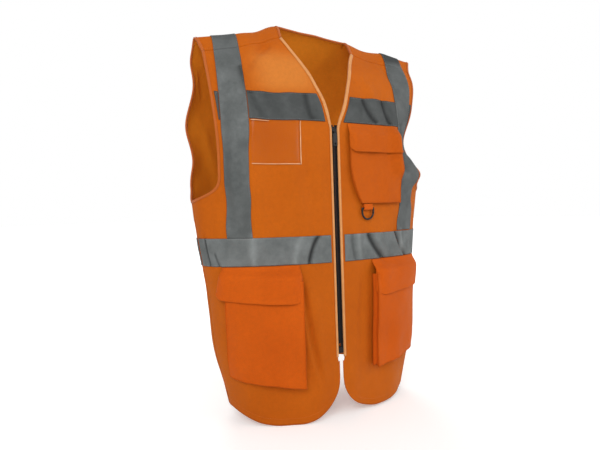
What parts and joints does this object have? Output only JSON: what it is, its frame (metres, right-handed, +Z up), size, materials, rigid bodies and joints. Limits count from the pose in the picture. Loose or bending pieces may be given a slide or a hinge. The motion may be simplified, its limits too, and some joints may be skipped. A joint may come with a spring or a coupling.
{
  "type": "high visibility vest",
  "caption": "Sleeveless high-visibility vest with a V neck, full front zip, reflective tapes, clear badge window, flapped pockets and a D-ring.",
  "frame": {"origin": "on the plane of the lowest hem, below the centre of the vest's box", "axes": "+Z up, -Y out of the front with the zip, -X the wearer's right"},
  "size_m": [0.491, 0.2074, 0.7299],
  "materials": {
    "vest_cloth": "matte",
    "pocket_cloth": "matte",
    "edge_binding": "satin",
    "reflective_tape": "satin",
    "clear_window": "gloss",
    "hook_and_loop": "matte",
    "zip_cloth": "matte",
    "black_plastic": "satin",
    "dark_metal": "satin"
  },
  "bodies": {
    "back": {"back_panel": "vest_cloth", "back_neck_binding": "edge_binding", "back_armhole_binding_right": "edge_binding", "back_armhole_binding_left": "edge_binding", "shoulder_tape_right": "reflective_tape", "shoulder_tape_left": "reflective_tape", "back_chest_tape": "reflective_tape", "back_waist_tape": "reflective_tape"},
    "front_right": {"front_panel_right": "vest_cloth", "front_edge_binding_right": "edge_binding", "front_armhole_binding_right": "edge_binding", "brace_tape_right": "reflective_tape", "chest_tape_right": "reflective_tape", "waist_tape_right": "reflective_tape", "id_window": "clear_window", "id_window_trim": "edge_binding", "pouch_right": "pocket_cloth", "loop_pad_right": "hook_and_loop", "zip_tape_right": "zip_cloth", "zip_teeth_right": "black_plastic", "top_stop_right": "black_plastic", "zip_box": "black_plastic"},
    "front_left": {"front_panel_left": "vest_cloth", "front_edge_binding_left": "edge_binding", "front_armhole_binding_left": "edge_binding", "brace_tape_left": "reflective_tape", "chest_tape_left": "reflective_tape", "waist_tape_left": "reflective_tape", "pouch_left": "pocket_cloth", "loop_pad_left": "hook_and_loop", "chest_pouch": "pocket_cloth", "chest_loop_pad": "hook_and_loop", "dring_tab": "pocket_cloth", "zip_tape_left": "zip_cloth", "zip_teeth_left": "black_plastic", "top_stop_left": "black_plastic", "zip_pin": "black_plastic"},
    "lower_flap_right": {"flap_right": "pocket_cloth", "hook_pad_right": "hook_and_loop"},
    "lower_flap_left": {"flap_left": "pocket_cloth", "hook_pad_left": "hook_and_loop"},
    "chest_pocket_flap": {"chest_flap": "pocket_cloth", "chest_hook_pad": "hook_and_loop"},
    "ring": {"dring": "black_plastic"},
    "zip_slider": {"slider": "black_plastic"},
    "zip_pull": {"pull_tab": "dark_metal"}
  },
  "joints": [
    {"name": "front_right_open", "type": "hinge", "parent": "back", "child": "front_right", "pos_m": [-0.1872, 0.00505, 0], "axis": [0.1367, 0, -0.9906], "range_deg": [0, 16]},
    {"name": "front_left_open", "type": "hinge", "parent": "back", "child": "front_left", "pos_m": [0.1872, 0.00505, 0], "axis": [0.1367, 0, 0.9906], "range_deg": [0, 16]},
    {"name": "zip_slide", "type": "slide", "parent": "front_right", "child": "zip_slider", "axis": [0, -0.035, -0.9994], "range_m": [0, 0.384], "deforming": ["zip_teeth_right", "zip_teeth_left"]},
    {"name": "pull_swing", "type": "hinge", "parent": "zip_slider", "child": "zip_pull", "pos_m": [0, -0.08196, 0.5281], "axis": [-1, 0, 0], "range_deg": [0, 150]},
    {"name": "flap_right_lift", "type": "hinge", "parent": "front_right", "child": "lower_flap_right", "pos_m": [-0.1542, -0.0673, 0.288], "axis": [-0.9368, 0.3499, 0], "range_deg": [0, 100]},
    {"name": "flap_left_lift", "type": "hinge", "parent": "front_left", "child": "lower_flap_left", "pos_m": [0.1542, -0.0673, 0.288], "axis": [-0.9368, -0.3499, 0], "range_deg": [0, 100]},
    {"name": "chest_flap_lift", "type": "hinge", "parent": "front_left", "child": "chest_pocket_flap", "pos_m": [0.09538, -0.0759, 0.5451], "axis": [-0.9886, -0.1509, 0], "range_deg": [0, 110]},
    {"name": "ring_swing", "type": "hinge", "parent": "front_left", "child": "ring", "pos_m": [0.06752, -0.08611, 0.38616], "axis": [-0.9942, -0.1073, 0], "range_deg": [0, 120]}
  ],
  "couplings": [
    {"joint": "front_right_open", "follows": "zip_slide", "rad_per_m": 0.727},
    {"joint": "front_left_open", "follows": "zip_slide", "rad_per_m": 0.727}
  ]
}
